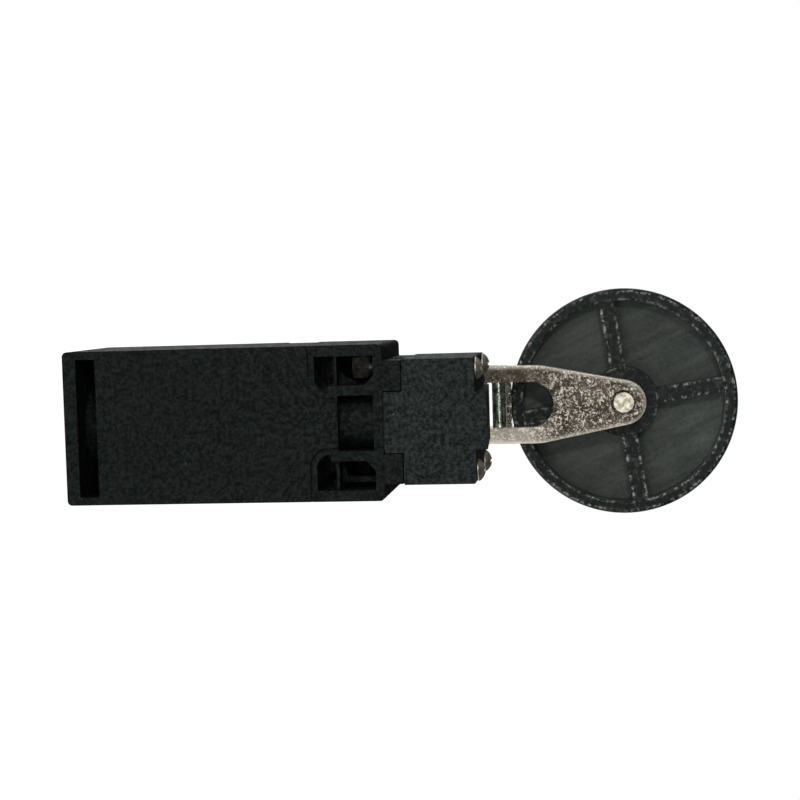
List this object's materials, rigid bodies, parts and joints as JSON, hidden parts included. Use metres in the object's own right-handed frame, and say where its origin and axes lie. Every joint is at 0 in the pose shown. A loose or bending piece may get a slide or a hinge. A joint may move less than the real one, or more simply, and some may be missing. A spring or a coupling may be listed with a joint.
{
  "type": "limit switch",
  "caption": "Compact plastic limit switch with a cast side-rotary lever and a large rubber roller, a fixing face at the back and a threaded cable entry.",
  "frame": {"origin": "on the mounting face, midway between the two fixing holes", "axes": "+Z from the cable entry up to the head, +Y out of the mounting face towards the wall, lever in front on the -Y side"},
  "size_m": [0.05, 0.0602, 0.1372],
  "materials": {
    "housing_black": "fine matt moulded grain, glass-filled",
    "head_black": "fine matt moulded grain, glass-filled",
    "seal_rubber": "matt",
    "plated_steel": "zinc plated",
    "block_plastic": "satin",
    "carrier_plastic": "satin",
    "contact_brass": "silver plated at the contact points",
    "spring_steel": "drawn wire",
    "shaft_steel": "turned",
    "cast_zinc": "as cast",
    "bush_bronze": "sintered",
    "lever_zinc": "blasted casting with bright smooth edges",
    "clamp_steel": "zinc plated",
    "rivet_steel": "satin, peened flush",
    "roller_black": "moulded elastomer, matt with light scuffs"
  },
  "bodies": {
    "housing": {"body": "housing_black", "cover_gasket": "seal_rubber", "cover_hinge_pin": "plated_steel", "contact_block": "block_plastic", "nc_fixed_contacts": "contact_brass", "no_fixed_contacts": "contact_brass", "terminal_screws": "plated_steel", "terminal_clamps": "plated_steel", "return_spring": "spring_steel", "head": "head_black", "head_gasket": "seal_rubber", "head_screws": "plated_steel", "screw_insert": "plated_steel", "shaft_bush": "bush_bronze", "shaft_seal": "seal_rubber", "plunger_spring": "spring_steel", "plunger_seal": "seal_rubber"},
    "front_cover": {"cover": "housing_black", "cover_screws": "plated_steel"},
    "lever": {"lever_shaft": "shaft_steel", "cam": "cast_zinc", "cam_pin": "plated_steel", "retaining_ring": "spring_steel", "lever_arm": "lever_zinc", "clamp_screw": "clamp_steel", "roller_pin": "rivet_steel", "roller_washer": "plated_steel"},
    "roller_wheel": {"roller": "roller_black", "roller_bush": "bush_bronze"},
    "push_rod": {"plunger": "carrier_plastic"},
    "carrier": {"contact_carrier": "carrier_plastic", "nc_bridge": "contact_brass", "no_bridge": "contact_brass", "bridge_springs": "spring_steel"}
  },
  "joints": [
    {"name": "lever_swing", "type": "hinge", "parent": "housing", "child": "lever", "pos_m": [0, -0.014, 0.0218], "axis": [0, 1, 0], "range_deg": [-75, 75], "stiffness_Nm_per_rad": 0.15},
    {"name": "roller_spin", "type": "hinge", "parent": "lever", "child": "roller_wheel", "pos_m": [0, -0.0536, 0.05925], "axis": [0, 1, 0], "continuous": true},
    {"name": "plunger_slide", "type": "slide", "parent": "housing", "child": "push_rod", "axis": [0, 0, -1], "range_m": [0, 0.0022], "stiffness_N_per_m": 1500, "springref_m": -0.002, "deforming": ["plunger_spring"]},
    {"name": "carrier_slide", "type": "slide", "parent": "housing", "child": "carrier", "axis": [0, 0, -1], "range_m": [0, 0.0022], "stiffness_N_per_m": 800, "springref_m": -0.002, "deforming": ["return_spring"]},
    {"name": "cover_hinge", "type": "hinge", "parent": "housing", "child": "front_cover", "pos_m": [0, -0.0273, -0.0086], "axis": [-1, 0, 0], "range_deg": [0, 95]}
  ],
  "couplings": [
    {"joint": "carrier_slide", "follows": "plunger_slide", "ratio": 1}
  ]
}
